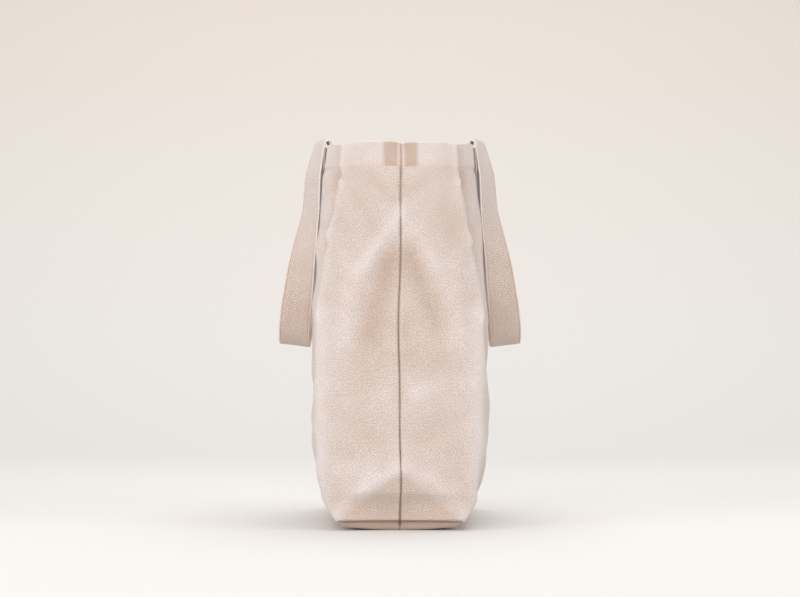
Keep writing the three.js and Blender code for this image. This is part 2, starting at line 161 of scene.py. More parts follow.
def along_path(at, lengths, values):
    """The values, known at the given lengths along a path, at other lengths of it."""
    columns = [np.interp(at, lengths, values[:, k]) for k in range(values.shape[1])]
    return np.stack(columns, axis=-1)


@functools.cache
def cloth_outline(z):
    """The front half of the section at a height, as long as the panel is wide, and its lengths."""
    short, long = 50 * MM, 250 * MM
    for _ in range(OUTLINE_TRIES):
        half_length = (short + long) / 2
        if path_lengths(quarter_outline(z, half_length))[-1] < HALF_WIDTH:
            short = half_length
        else:
            long = half_length
    quarter = quarter_outline(z, short)
    points = np.concatenate([quarter, quarter[-2::-1] * [1, -1]])
    return points, path_lengths(points)


def front_points(girths, z):
    """Points of the front panel's outer face at a height, and the way outwards there."""
    points, lengths = cloth_outline(z)
    girths = np.atleast_1d(girths)
    step = 1.5 * MM
    place = along_path(girths, lengths, points)
    ahead = along_path(girths + step, lengths, points)
    along = unit(ahead - along_path(girths - step, lengths, points))
    outward = np.stack([-along[:, 1], along[:, 0]], axis=1)
    place[:, 0] = np.minimum(place[:, 0], -SEAM_GAP / 2)
    return place, outward


# ---- folds in the cloth ----

# Folds at an end, as (from, to, width, height, tone). Places are in mm: the distance along the
# cloth from the side seam, with the front panel's side negative, and the height above the
# ground. Height is how far the fold stands out, and tone how much paler it is painted there:
# painted light along the ridges and painted shade in the hollows.
END_FOLDS = [
    # a gable of two soft ridges that fall from the side seam to the sides
    ((0, 318), (-42, 256), 7.5, 3.6, 0.32),
    ((-49, 236), (-57, 188), 10, 2.4, 0.22),
    ((2, 320), (36, 262), 9, 2.6, 0.20),
    ((46, 240), (62, 190), 12, 2.2, 0.15),
    # hollows under the gable and beside the seam
    ((-10, 268), (-28, 196), 13, -3.6, -0.46),
    ((44, 318), (50, 292), 12, -1.6, -0.16),
    ((14, 276), (38, 208), 13, -3.4, -0.36),
    ((12, 166), (60, 163), 12, -1.6, -0.14),
    ((-10, 172), (-58, 150), 14, -1.2, -0.10),
    ((18, 140), (36, 143), 10, 2.0, 0.25),
    # the flattened triangle over the boxed corner, with creases along its sides
    ((0, 62), (-36, 41), 7, 2.6, 0.30),
    ((-30, 58), (-58, 60), 11, 2.2, 0.25),
    ((0, 62), (30, 50), 8, 2.0, 0.15),
    ((-36, 41), (-62, 16), 7, 1.6, 0.20),
    ((30, 50), (62, 16), 8, 1.4, 0.10),
    ((-14, 34), (14, 34), 16, -3.0, 0.0),
    ((-40, 18), (40, 18), 11, -1.8, 0.0),
    ((0, 66), (0, 110), 26, 2.4, 0.05),
    # the pressed fold at each side of the end, sharp at the rim and soft below
    ((-59, 390), (-62, 350), 4.4, 1.8, 0.28),
    ((-62, 348), (-76, 296), 5.4, 1.9, 0.24),
    ((-76, 296), (-88, 215), 9, 2.0, 0.20),
    ((-88, 215), (-86, 40), 14, 0.8, 0.35),
    ((57, 390), (60, 350), 4.4, 1.8, 0.28),
    ((60, 348), (75, 290), 5.4, 1.9, 0.20),
    ((75, 290), (86, 215), 9, 2.0, 0.15),
    ((86, 215), (84, 40), 14, 0.8, 0.45),
    # the valleys behind those folds
    ((-73, 388), (-75, 350), 8, -2.8, -0.30),
    ((-75, 350), (-90, 290), 9, -3.0, -0.22),
    ((-90, 290), (-104, 235), 9, -1.8, -0.14),
    ((71, 388), (74, 350), 8, -2.8, -0.30),
    ((74, 350), (89, 290), 9, -2.8, -0.22),
    ((89, 290), (102, 240), 9, -1.7, -0.14),
    ((-63, 359), (-63, 356), 2.2, -1.5, -1.00),
    # small buckles
    ((-28, 352), (-6, 330), 7, -1.5, -0.15),
    ((26, 352), (8, 338), 8, -1.2, -0.12),
    ((-46, 336), (-20, 300), 8, -1.4, -0.12),
    ((-70, 120), (-30, 92), 11, -1.4, -0.12),
    ((64, 112), (28, 96), 12, -1.6, -0.14),
    ((8, 216), (10, 178), 8, -1.4, -0.18),
]

END_RELIEF = 1.7                # how strongly the folds of an end stand out
FACE_RELIEF = 1.2

TRIANGLE_HEIGHT = 61 * MM       # the triangle of painted shade over a boxed corner, at the side seam
TRIANGLE_SLOPE = 0.8
CORNER_HOLLOW = 6 * MM

# Folds on the long face of a panel. The first number is the distance from its middle. Their
# tone is painted light on ridges and painted shade in hollows.
FACE_FOLDS = [
    # the rim gives way under the webbing
    ((-75, 394), (-75, 374), 19, -2.4, -0.05),
    ((75, 394), (75, 374), 19, -2.4, -0.05),
    ((-75, 352), (-58, 250), 13, 2.2, 0.06),
    ((75, 352), (66, 240), 13, 2.0, 0.06),
    ((-40, 345), (-26, 270), 12, -2.4, -0.10),
    ((38, 350), (30, 262), 13, -2.2, -0.10),
    ((-8, 380), (4, 310), 22, -2.6, -0.06),
    ((-128, 300), (-96, 190), 14, -2.6, -0.11),
    ((122, 292), (98, 176), 14, -2.4, -0.10),
    ((-86, 160), (-20, 122), 15, -2.4, -0.09),
    ((90, 148), (26, 106), 15, -2.2, -0.09),
    ((-10, 216), (46, 184), 16, 1.8, 0.05),
    ((-52, 88), (48, 72), 16, 1.8, 0.05),
    ((-104, 62), (-72, 30), 12, -1.6, -0.09),
    ((104, 66), (74, 30), 12, -1.6, -0.09),
]


def fold_strength(a, z, start, end, width):
    """1 on the line from start to end, falling off over width, at places a along and z up."""
    start, end = np.array(start) * MM, np.array(end) * MM
    span = end - start
    share = np.clip(((a - start[0]) * span[0] + (z - start[1]) * span[1]) / (span @ span), 0, 1)
    away = np.hypot(a - start[0] - share * span[0], z - start[1] - share * span[1])
    return nearness(away, width)


def add_folds(folds, relief, a, z, keep, raised, tone):
    for start, end, width, height, shade in folds:
        strength = fold_strength(a, z, start, end, width) * keep
        raised += relief * height * MM * strength
        # painted light along ridges and painted shade along hollows, following each fold
        tone += shade * strength


WAVE_COUNT = 14


def waves(a, z, seed):
    """Slow unevenness of cloth that hangs by itself, about -1 to 1."""
    total = np.zeros_like(a + z)
    rng = np.random.default_rng(seed)
    for _ in range(WAVE_COUNT):
        length = rng.uniform(28, 95) * MM
        turn = rng.uniform(0, math.pi)
        phase = rng.uniform(0, 2 * math.pi)
        total += np.sin(2 * math.pi * (a * math.cos(turn) + z * math.sin(turn)) / length + phase)
    return total / WAVE_COUNT ** 0.5


def seam_roll(distance, depth, lip):
    """Cloth turning in at a seam: a groove, with a small lip beside it."""
    return lip * nearness(distance - 3.2 * MM, 1.9) - depth * nearness(distance, 1.1)


class Panel:
    """One canvas panel: a grid of columns round the bag and rows up it, with its folds."""

    def __init__(self, side):
        self.side = side                        # -1 is the front, 1 the back
        self.name = "front" if side < 0 else "back"
        self.columns = self.column_girths()
        self.rows = self.row_heights()
        self.place_cloth()

    def column_girths(self):
        _, lengths = cloth_outline(CORNER_LIFT)
        corner = lengths[OUTLINE_STEPS // 2]
        count = int(round((corner - NEAR_SEAM[-1]) / GRID))
        end = np.linspace(NEAR_SEAM[-1], corner, count + 1)[1:]
        half = np.concatenate([NEAR_SEAM, end])
        self.corner = len(half) - 1
        count = 2 * int(round((HALF_WIDTH - corner) / GRID))
        long = np.linspace(corner, FLAT_WIDTH - corner, count + 1)[1:]
        return np.concatenate([half, long, FLAT_WIDTH - half[-2::-1]])

    def row_heights(self):
        foot = CORNER_LIFT + NEAR_SEAM
        top = BAG_HEIGHT - RIM_ROLL
        hem = HEM_START - 7 * MM
        body = np.linspace(foot[-1], hem, int(round((hem - foot[-1]) / GRID)) + 1)[1:]
        fine = np.linspace(hem, top, int(round((top - hem) / FINE)) + 1)[1:]
        return np.concatenate([foot, body, fine])

    def place_cloth(self):
        """Outer face, way outwards and tone at every column and row."""
        shape = (len(self.rows), len(self.columns))
        place = np.zeros((*shape, 3))
        outward = np.zeros((*shape, 3))
        for r, z in enumerate(self.rows):
            flat, out = front_points(self.columns, z)
            place[r, :, :2] = flat
            place[r, :, 2] = z
            outward[r, :, :2] = out
        girth, height = np.meshgrid(self.columns, self.rows)
        raised, tone = self.folds(girth, height)
        place += outward * raised[..., None]
        place[..., 2] += self.lift(girth, height)
        place[..., 0] += self.seam_sway(girth, height)
        self.limit(place)
        place[..., 0] *= -self.side
        outward[..., 0] *= -self.side
        self.place, self.outward, self.tone = place, outward, tone

    def folds(self, girth, height):
        """How far the cloth stands out at each point, and its tone there."""
        raised = np.zeros_like(girth)
        tone = np.zeros_like(girth)
        seam = np.minimum(girth, FLAT_WIDTH - girth)
        self.add_listed_folds(girth, height, raised, tone)
        self.add_unevenness(girth, height, seam, raised)
        self.add_side_seam(height, seam, raised, tone)
        self.add_boxed_corner(girth, height, seam, raised, tone)
        self.add_hem(girth, height, seam, raised, tone)
        return raised, tone

    def add_listed_folds(self, girth, height, raised, tone):
        """The folds of both ends, a little weaker and lower at the far one, and of the face."""
        for near in (True, False):
            distance = girth if near else FLAT_WIDTH - girth
            hand = self.side if near else -self.side
            keep = (1.0 if near else 0.85) * (distance < HALF_WIDTH)
            drop = 0 if near else 7 * MM
            add_folds(END_FOLDS, END_RELIEF, distance * hand, height + drop, keep, raised, tone)
        middle = (girth - HALF_WIDTH) * self.side
        reach = smooth((HALF_WIDTH - np.abs(middle) - 60 * MM) / (40 * MM))
        add_folds(FACE_FOLDS, FACE_RELIEF, middle, height, reach, raised, tone)

    def add_unevenness(self, girth, height, seam, raised):
        free = smooth((height - CORNER_LIFT) / (40 * MM)) * smooth((BAG_HEIGHT - height) / (60 * MM))
        free = (0.25 + 0.75 * free) * smooth(seam / (14 * MM))
        raised += 1.1 * MM * waves(girth, height, 5 + self.side) * free

    def add_side_seam(self, height, seam, raised, tone):
        """A groove, shallower in the hem, with uneven puckers beside it and painted shade along its
        bottom.
        """
        easing = 0.5 + 0.5 * smooth((HEM_START - height) / (12 * MM))
        lip = (0.9 if self.side > 0 else 0.4) * MM
        raised += seam_roll(seam, 1.5 * MM, lip) * easing
        pucker = np.sin(height / (5.3 * MM)) + np.sin(height / (3.1 * MM) + 1)
        raised += 0.16 * MM * pucker * nearness(seam, 7)
        # painted shade along the bottom of the seam groove
        tone -= 1.3 * nearness(seam, 1.1)

    def add_boxed_corner(self, girth, height, seam, raised, tone):
        """The end's lower edge: a seam with painted shade along it, the hollow over it, and the
        triangle of painted shade.
        """
        boxed = smooth((self.columns[self.corner] - seam) / (6 * MM))
        up = height - CORNER_LIFT
        raised += seam_roll(up, 3.0 * MM, 0.9 * MM) * boxed
        # painted shade along the boxed corner's seam
        tone -= 1.7 * nearness(up, 1.5) * boxed
        # painted shade over the triangle above the boxed corner
        inside = TRIANGLE_HEIGHT - TRIANGLE_SLOPE * seam - height
        tone -= 0.22 * smooth(inside / (4 * MM)) * boxed
        raised += 0.08 * MM * np.sin(girth / (2.6 * MM)) * nearness(up, 8) * boxed
        raised -= CORNER_HOLLOW * nearness(seam, 46) * nearness(up, 34)

    def add_hem(self, girth, height, seam, raised, tone):
        """A second layer over a stitched groove, darker where the allowances lie behind it."""
        raised += 0.7 * MM * smooth((height - HEM_START - 0.5 * MM) / (2.5 * MM))
        raised -= 0.7 * MM * nearness(height - HEM_START + 0.4 * MM, 1.6)
        ripple = np.sin(girth / (2.9 * MM)) * np.sin(girth / (7.7 * MM) + 2)
        raised += 0.22 * MM * ripple * nearness(height - HEM_START - 3 * MM, 7)
        square = smooth((19 * MM - seam) / (4 * MM)) * smooth((seam - 2.0 * MM) / (3.5 * MM))
        tone -= 0.9 * square * (height > HEM_START + 0.5 * MM)
        # painted light: the hem above its stitching is painted paler
        tone += 0.22 * smooth((height - HEM_START) / (3 * MM))

    def lift(self, girth, height):
        """The rim dips at its folded corners and at the seams, and waves a little between."""
        high = smooth((height - HEM_START + 30 * MM) / (50 * MM))
        seam = np.minimum(girth, FLAT_WIDTH - girth)
        dip = 3.0 * nearness(seam - 62 * MM, 16) + 1.6 * nearness(seam, 5)
        dip += 1.4 * nearness(seam - HANDLE_GIRTH, 19)
        sway = 0.7 * np.sin(girth / (31 * MM) + self.side) + 0.4 * np.sin(girth / (12 * MM))
        return -(dip + 0.8 + sway * 0.8) * MM * high

    def seam_sway(self, girth, height):
        """How far the side seam, and the cloth near it, wanders to a side."""
        seam = np.minimum(girth, FLAT_WIDTH - girth)
        sway = 1.1 * np.sin(height / (47 * MM) + 0.7) + 0.5 * np.sin(height / (19 * MM))
        level = smooth((height - CORNER_LIFT) / (50 * MM))
        return self.side * -sway * MM * level * nearness(seam, 20)

    def limit(self, place):
        """Keeps the cloth where its packed panel has room for it."""
        low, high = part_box("front_panel")
        proud = 3 * MM
        place[..., 0] = np.maximum(place[..., 0], low.x - proud)
        place[..., 1] = np.clip(place[..., 1], low.y - proud, high.y + proud)

    def at(self, girth, height, lift=0.0):
        """Points of the finished outer face, raised from it by lift."""
        column = np.interp(girth, self.columns, np.arange(len(self.columns)))
        row = np.interp(height, self.rows, np.arange(len(self.rows)))
        c, r = np.floor(column).astype(int), np.floor(row).astype(int)
        c = np.minimum(c, len(self.columns) - 2)
        r = np.minimum(r, len(self.rows) - 2)
        s, t = (column - c)[..., None], (row - r)[..., None]

        def blended(field):
            low = mix(field[r, c], field[r, c + 1], s)
            high = mix(field[r + 1, c], field[r + 1, c + 1], s)
            return mix(low, high, t)

        return blended(self.place) + blended(self.outward) * lift

    def outwards(self, girth, height):
        return self.at(girth, height, 1.0) - self.at(girth, height, 0.0)


# ---- meshes ----

def add_object(name, data):
    thing = bpy.data.objects.new(name, data)
    bpy.context.scene.collection.objects.link(thing)
    return thing


def make_smooth(mesh):
    mesh.polygons.foreach_set("use_smooth", np.ones(len(mesh.polygons), bool))


class Skin:
    """Points with a weave coordinate and a tone, and the faces between them."""

    def __init__(self):
        self.points, self.weave, self.tone, self.faces = [], [], [], []
        self.count = 0

    def add(self, points, along, up, tone):
        """Adds an array of points, with their place in the weave and their tone, and gives their
        indices in the same layout."""
        shape = points.shape[:-1]
        index = np.arange(self.count, self.count + math.prod(shape)).reshape(shape)
        weave = np.stack([np.broadcast_to(field, shape) for field in (along, up, 0.0)], axis=-1)
        self.points.append(points.reshape(-1, 3))
        self.weave.append(weave.reshape(-1, 3))
        self.tone.append(np.broadcast_to(tone, shape).reshape(-1))
        self.count += index.size
        return index

    def sheet(self, index):
        """Faces over a grid of indices."""
        quads = np.stack([index[:-1, :-1], index[:-1, 1:], index[1:, 1:], index[1:, :-1]], axis=-1)
        self.faces.append(quads.reshape(-1, 4))

    def build(self, name, outward=None):
        """The mesh. Its first face looks outward, and all others look to the same side."""
        points = np.concatenate(self.points)
        faces = np.concatenate(self.faces)
        mesh = bpy.data.meshes.new(name)
        mesh.from_pydata(points.tolist(), [], faces.tolist())
        layer = mesh.attributes.new("weave", "FLOAT_VECTOR", "POINT")
        layer.data.foreach_set("vector", np.concatenate(self.weave).astype(np.float32).ravel())
        layer = mesh.attributes.new("tone", "FLOAT", "POINT")
        layer.data.foreach_set("value", np.concatenate(self.tone).astype(np.float32))
        mesh.update()
        turn_outwards(mesh, outward)
        make_smooth(mesh)
        return add_object(name, mesh)


def turn_outwards(mesh, outward):
    """Makes the faces look to one side, with the first face along outward."""
    form = bmesh.new()
    form.from_mesh(mesh)
    bmesh.ops.recalc_face_normals(form, faces=form.faces)
    form.faces.ensure_lookup_table()
    if outward is not None and form.faces[0].normal.dot(Vector(outward)) < 0:
        bmesh.ops.reverse_faces(form, faces=form.faces)
    form.to_mesh(mesh)
    form.free()


def thicken(thing, thickness):
    """Gives a sheet its thickness, to the side away from its faces."""
    solid = thing.modifiers.new("thickness", "SOLIDIFY")
    solid.thickness = thickness
    solid.offset = -1
    solid.use_even_offset = True
    solid.thickness_clamp = 1.0
    view = bpy.context.evaluated_depsgraph_get()
    mesh = bpy.data.meshes.new_from_object(thing.evaluated_get(view))
    old = thing.data
    thing.modifiers.clear()
    thing.data = mesh
    mesh.name = thing.name
    bpy.data.meshes.remove(old)


TOE_LENGTH = 15 * MM            # over which the base turns up to a boxed corner's seam
TOE_BULGE = 5.5 * MM            # how far it stands out there
TOE_LIFT = 4.8 * MM             # its extra height at the corners
BASE_DENT = 0.5 * MM


def base_height(across, inward):
    """The base rises to its seams: across is the share of the way out to the long edge, and
    inward the distance from the end."""
    edge = mix(0.90, 0.66, smooth((inward - 10 * MM) / (30 * MM)))
    side = 1 - smooth((across - edge) / (1 - edge))
    end = smooth(1.45 * inward / TOE_LENGTH)
    corner = TOE_LIFT * across ** 2 * nearness(inward, 34) * end
    return np.minimum(CORNER_LIFT * (1 - side * end) + corner, CORNER_LIFT)


def add_base(skin, panel, foot):
    """Half of the base, from the wall's bottom row to the base seam, and its turned-up edge."""
    corner = panel.corner
    last = len(panel.columns) - 1
    long = slice(corner, last - corner + 1)
    flat, _ = front_points(panel.columns, CORNER_LIFT)
    reach = np.abs(flat[:, 0])
    points = panel.place[0]
    edge = points[long]
    ends = points[:corner + 1]
    far_ends = points[last - corner:][::-1]
    share = np.linspace(0, 1, len(edge))[None, :]
    x = reach[:corner + 1, None] * reach[None, long] / reach[corner]
    near = ends[:, 1] / ends[-1, 1]
    far = far_ends[:, 1] / far_ends[-1, 1]
    y = edge[:, 1][None, :] * mix(near[:, None], far[:, None], share)
    across = x / reach[corner]
    inward = np.minimum(share, 1 - share) * (edge[-1, 1] - edge[0, 1]) + 0 * x
    z = base_height(across, inward)
    toe = np.clip(inward / TOE_LENGTH, 0, 1)
    bulged = y + np.sign(y) * TOE_BULGE * np.sin(math.pi * toe) * (1 - across ** 8)
    dent = np.sin(bulged / (23 * MM) + panel.side) * np.sin(x / (19 * MM) + 1)
    z = z + BASE_DENT * (1 + dent) * (1 - across ** 4) * smooth((inward - 30 * MM) / (20 * MM))
    grid = np.stack([x * panel.side, bulged, z], axis=-1)
    # painted shade: the base is painted darker, more at the downward-facing toe, darkest along its
    # seam
    shade = -0.3 - 0.5 * (1 - smooth((inward - 10 * MM) / (12 * MM)))
    shade -= 1.4 * nearness(inward, 2.2)
    index = skin.add(grid, y, HALF_WIDTH - x, shade)
    index[-1, :] = foot[long]
    skin.sheet(index)
    return index, grid


def add_flap(skin, edge, index, direction, width):
    """A turned-in allowance along an edge: rows of points further along direction."""
    steps = 4
    rows = [index]
    for k in range(1, steps + 1):
        points = edge + direction * (width * k / steps)[:, None]
        rows.append(skin.add(points, path_lengths(edge), ALLOWANCE * k / steps, FLAP_TONE))
    skin.sheet(np.array(rows))


def fill_in(length, total, run):
    """0 at both ends of a length, growing to 1 within run."""
    return np.clip(np.minimum(length, total - length) / run, 0.02, 1)


def add_hem_fold(skin, panel, top_row):
    """The hem: over the rim, down the inside, and its turned edge."""
    columns = panel.columns
    top, out = panel.place[-1], panel.outward[-1]
    rows = [top_row]
    for angle in np.linspace(0, math.pi, 8)[1:]:
        depth = RIM_ROLL * (1 - math.cos(angle))
        points = top - out * depth
        points = points + np.array([0, 0, RIM_ROLL * math.sin(angle)])
        # painted highlight along the top of the rim, paler than the cloth below
        rows.append(skin.add(points, columns, BAG_HEIGHT + depth, panel.tone[-1] + 0.3))
    for z in np.linspace(panel.rows[-1], HEM_START + 0.6 * MM, 20)[1:]:
        tuck = 0.5 * MM * nearness(z - HEM_START, 1.5)
        points = panel.at(columns, np.full(len(columns), z), tuck - 2 * RIM_ROLL)
        rows.append(skin.add(points, columns, 2 * BAG_HEIGHT - z, 0.1))
    skin.sheet(np.array(rows))


def seam_rows(panel):
    """The rows whose side seams have turned-in allowances."""
    return (panel.rows > CORNER_LIFT + CLIP_LENGTH) & (panel.rows < HEM_START - HEM_CLEAR)


def add_allowances(skin, panel, wall, base, foot):
    """The allowances of the base seam, the side seams and the boxed corners."""
    lengths = path_lengths(foot)
    width = ALLOWANCE * smooth(fill_in(lengths, lengths[-1], CLIP_LENGTH) * 1.2 - 0.2)
    add_flap(skin, foot, base[0], np.array([0, 0, 1.0]), np.maximum(width, 0.05 * MM))

    tall = seam_rows(panel)
    for column, inward, turn in ((0, 1.0, -1), (-1, -1.0, 1)):
        edge = panel.place[tall, column][::turn]
        index = wall[tall, column][::turn]
        add_flap(skin, edge, index, np.array([0, inward, 0]), np.full(len(edge), ALLOWANCE))

    stacked = np.array([0, 0, 1.3 * MM])        # the end's allowance lies on the base's
    for inward, order in ((1, 1), (-1, -1)):
        direction = np.array([0, inward * math.cos(FLAP_RISE), math.sin(FLAP_RISE)])
        edge = panel.place[0][::order][:panel.corner + 1]
        index = wall[0][::order][:panel.corner + 1]
        fade = np.clip((edge[-1, 0] - edge[:, 0]) * panel.side / ALLOWANCE, 0.02, 1)
        edge = edge + stacked * fade[:, None]
        add_flap(skin, edge[::-order], index[::-order], direction, (ALLOWANCE * fade)[::-order])


def panel_skin(panel):
    skin = Skin()
    girth, height = np.meshgrid(panel.columns, panel.rows)
    wall = skin.add(panel.place, girth, height, panel.tone)
    skin.sheet(wall)
    add_hem_fold(skin, panel, wall[-1])
    base, grid = add_base(skin, panel, wall[0])
    add_allowances(skin, panel, wall, base, grid[0])
    return skin


def make_panel(panel):
    cloth = panel_skin(panel).build(panel.name + "_panel_cloth", outward=panel.outward[0, 1])
    thicken(cloth, CANVAS)
    cloth.data.materials.append(canvas_material())
    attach(cloth, "bag")
    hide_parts(panel.name + "_panel")
    return cloth


# ---- webbing handles ----

# How the strap leaves the rim: share of the drop, clearance in mm between its inner edge and
# the panel, and its turn in degrees, from flat on the panel to edge on.
STRAP_STATIONS = np.array([
    [0.01, 0.8, 20], [0.05, 1.8, 23], [0.15, 2.7, 30], [0.33, 1.5, 34],
    [0.52, 1.2, 51], [0.7, 1.2, 70], [0.85, 1.8, 86], [1, 2.8, 90],
])


def strap_reach(y, z, clear, turn):
    """How far out the strap's middle line lies, so that both edges clear the panel."""
    half = STRAP_WIDTH / 2
    reaches = []
    for edge in (-1, 1):
        girth = HALF_WIDTH - abs(y) + edge * half * math.cos(turn)
        place, _ = front_points(girth, z)
        reaches.append(-place[0, 0] - edge * half * math.sin(turn))
    return max(reaches) + clear + STRAP_THICKNESS / 2


def strap_place(share):
    """Middle point and turn of the hanging strap, at a share of the way to the loop's middle."""
    leg, _ = front_points(HANDLE_GIRTH, BAG_HEIGHT)
    leg_y = leg[0, 1]
    straight = HANDLE_DROP - LOOP_ROUND
    split = straight / (straight + LOOP_ROUND)
    drop = mix(RIM_CLEAR, straight, share / split)
    y = leg_y
    if share > split:
        angle = math.pi / 2 * (share - split) / (1 - split)
        drop = straight + LOOP_ROUND * math.sin(angle)
        y = (leg_y + LOOP_FLAT / 2) * math.cos(angle) - LOOP_FLAT / 2
    z = BAG_HEIGHT - drop
    clear, turn = along_path(drop / HANDLE_DROP, STRAP_STATIONS[:, 0], STRAP_STATIONS[:, 1:])
    turn = math.radians(turn)
    return np.array([-strap_reach(y, z, clear * MM, turn), y, z]), turn


def hanging_half():
    """Middle points, and width and thickness directions, from the rim to the loop's middle."""
    middles, widths = [], []
    steps = 72
    for k in range(steps + 1):
        share = k / steps
        place, turn = strap_place(share)
        before, _ = strap_place(max(share - 0.01, 0))
        after, _ = strap_place(min(share + 0.01, 1))
        along = unit(after - before) if share < 1 else np.array([0, 1.0, 0])
        out = np.array([-math.cos(LOOP_TILT), 0, math.sin(LOOP_TILT)])
        out = unit(out - along * (along @ out))
        level = np.cross(along, out)
        middles.append(place)
        widths.append(level * math.cos(turn) + out * math.sin(turn))
    return np.array(middles), np.array(widths)


ARCH_RISE = 8.8 * MM            # how far the webbing stands over the end of its sewn part
ARCH_LEAN = 3.0 * MM            # how far it leans into the bag before it turns over the rim


def sewn_end(panel, near):
    """Middle points and width directions of the end sewn inside the hem, upwards."""
    middles, widths = [], []
    depth = 2 * RIM_ROLL + SEAM_GAP + STRAP_THICKNESS / 2
    girths = np.array([HANDLE_GIRTH - STRAP_WIDTH / 2, HANDLE_GIRTH + STRAP_WIDTH / 2])
    if not near:
        girths = FLAT_WIDTH - girths
    for z in np.linspace(HEM_START + 1 * MM, BAG_HEIGHT - 3 * MM, 9):
        edges = panel.at(girths, np.array([z, z]), -depth)
        edges[:, 0] *= -panel.side
        edges[:, 1] *= 1 if near else -1
        middles.append(edges.mean(axis=0))
        widths.append(unit(edges[1] - edges[0]))
    return np.array(middles), np.array(widths)


def strap_half(panel, near):
    """A front handle's webbing from one sewn end over the rim to the loop's middle."""
    inner, inner_width = sewn_end(panel, near)
    hang, hang_width = hanging_half()
    start, stop = inner[-1], hang[0]
    middles, widths = [], []
    for t in np.linspace(0, 1, 17)[1:-1]:
        angle = math.pi * t
        share = (1 - math.cos(angle)) / 2
        place = mix(start, stop, share)
        place[2] += ARCH_RISE * math.sin(angle)
        place[0] += ARCH_LEAN * math.sin(angle) ** 2 * (1 - t)
        middles.append(place)
        widths.append(unit(mix(inner_width[-1], hang_width[0], share)))
    return np.concatenate([inner, middles, hang]), np.concatenate([inner_width, widths, hang_width])


def strap_path(panel):
    """The whole webbing of a front handle: sewn end, bend over the rim, loop, and back."""
    half, half_width = strap_half(panel, True)
    other, other_width = strap_half(panel, False)
    other = other[-2::-1] * [1, -1, 1]
    other_width = other_width[-2::-1] * [1, -1, 1]
    return np.concatenate([half, other]), np.concatenate([half_width, other_width])


def evenly(points, others, spacing):
    """Points along a path at an even spacing, the directions that go with them, and lengths."""
    lengths = path_lengths(points)
    count = int(lengths[-1] / spacing)
    at = np.linspace(0, lengths[-1], count + 1)
    return along_path(at, lengths, points), unit(along_path(at, lengths, others)), at


def smoothed(values, rounds):
    for _ in range(rounds):
        values[1:-1] = (values[:-2] + 2 * values[1:-1] + values[2:]) / 4
    return values


def strap_section():
    """Half a webbing section as (across, through) shares: flat, with a thicker woven edge."""
    edge = np.array([0.88, 0.92, 0.955, 0.99, 1])
    across = np.concatenate([-edge[::-1], np.linspace(-0.84, 0.84, 13), edge])
    through = np.full(len(across), 0.9)
    for k, share in enumerate(np.abs(across)):
        if share > 0.97:
            through[k] = 0.35 if share < 1 else 0.0
        elif share > 0.9:
            through[k] = 1.0
        elif share > 0.86:
            through[k] = 0.72
    return across, through


STRAP_STEP = 2.2 * MM


def strap_surface(panel):
    """Rings of points along a front handle's webbing, its profile, and the lengths along it."""
    middles, widths = strap_path(panel)
    middles, widths, lengths = evenly(middles, smoothed(widths, 6), STRAP_STEP)
    middles = smoothed(middles, 2)
    through = np.cross(unit(np.gradient(middles, axis=0)), widths)
    across, thick = strap_section()
    profile = np.concatenate([np.stack([across, thick], 1), np.stack([across, -thick], 1)[-2:0:-1]])
    wander = 0.5 * MM * np.sin(lengths / (37 * MM)) + 0.3 * MM * np.sin(lengths / (13 * MM) + 2)
    hanging = smooth((np.minimum(lengths, lengths[-1] - lengths) - 45 * MM) / (40 * MM))
    middles = middles + widths * (wander * hanging)[:, None]
    points = (middles[:, None, :]
              + widths[:, None, :] * profile[None, :, 0:1] * STRAP_WIDTH / 2
              + through[:, None, :] * profile[None, :, 1:2] * STRAP_THICKNESS / 2)
    dish = 0.5 * MM * np.sin(lengths / (52 * MM) + panel.side)[:, None]
    dish = dish * (profile[None, :, 0] ** 2 - 0.4)
    points += through[:, None, :] * (dish * hanging[:, None])[..., None]
    level = np.clip((BAG_HEIGHT - middles[:, 2]) / HANDLE_DROP, 0, 1)
    return points, profile, lengths, level


def make_handle(panel):
    side = panel.side
    points, profile, lengths, level = strap_surface(panel)
    points[..., 0] *= -side
    across = profile[None, :, 0]
    # painted light: the webbing is painted paler near the rim and darker lower down, with a slow
    # random change in tone along it
    tone = 0.92 - 0.90 * level[:, None] + 0.1 * np.sin(lengths / (29 * MM))[:, None]
    skin = Skin()
    index = skin.add(points, across * STRAP_WIDTH / 2, lengths[:, None], tone)
    skin.sheet(np.concatenate([index, index[:, :1]], axis=1))
    name = panel.name + "_handle"
    webbing = skin.build(name + "_webbing")
    close_ends(webbing)
    webbing.data.materials.append(webbing_material())
    inner = abs(sewn_end(panel, True)[0][-1, 0])
    outer = abs(hanging_half()[0][0, 0])
    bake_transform(webbing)
    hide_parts(name, name + "_end_right", name + "_end_left")


def close_ends(thing):
    """Closes the two ends of the webbing."""
    form = bmesh.new()
    form.from_mesh(thing.data)
    open_edges = [edge for edge in form.edges if edge.is_boundary]
    bmesh.ops.holes_fill(form, edges=open_edges, sides=0)
    bmesh.ops.recalc_face_normals(form, faces=form.faces)
    form.to_mesh(thing.data)
    form.free()


# ---- sewing thread ----

THREAD_RADIUS = 0.42 * MM
THREAD_SIDES = 6
STITCH_PITCH = 3.1 * MM
STITCH_LENGTH = 2.6 * MM
OVERLOCK_PITCH = 3.4 * MM
OVERLOCK_RADIUS = 0.33 * MM
OVERLOCK_REACH = 4.6 * MM       # how far it goes over the cloth from its raw edge

# The rings of a stitch: shares of its length, of its radius, and how far it rises in radii.
STITCH_RINGS = [(-0.5, 0.25, -0.9), (-0.38, 0.9, 0.0), (0, 1.0, 0.35), (0.38, 0.9, 0.0),
                (0.5, 0.25, -0.9)]


def ring_points(centre, first, second, radius):
    points = []
    for k in range(THREAD_SIDES):
        turn = 2 * math.pi * k / THREAD_SIDES
        points.append(centre + (first * math.cos(turn) + second * math.sin(turn)) * radius)
    return points


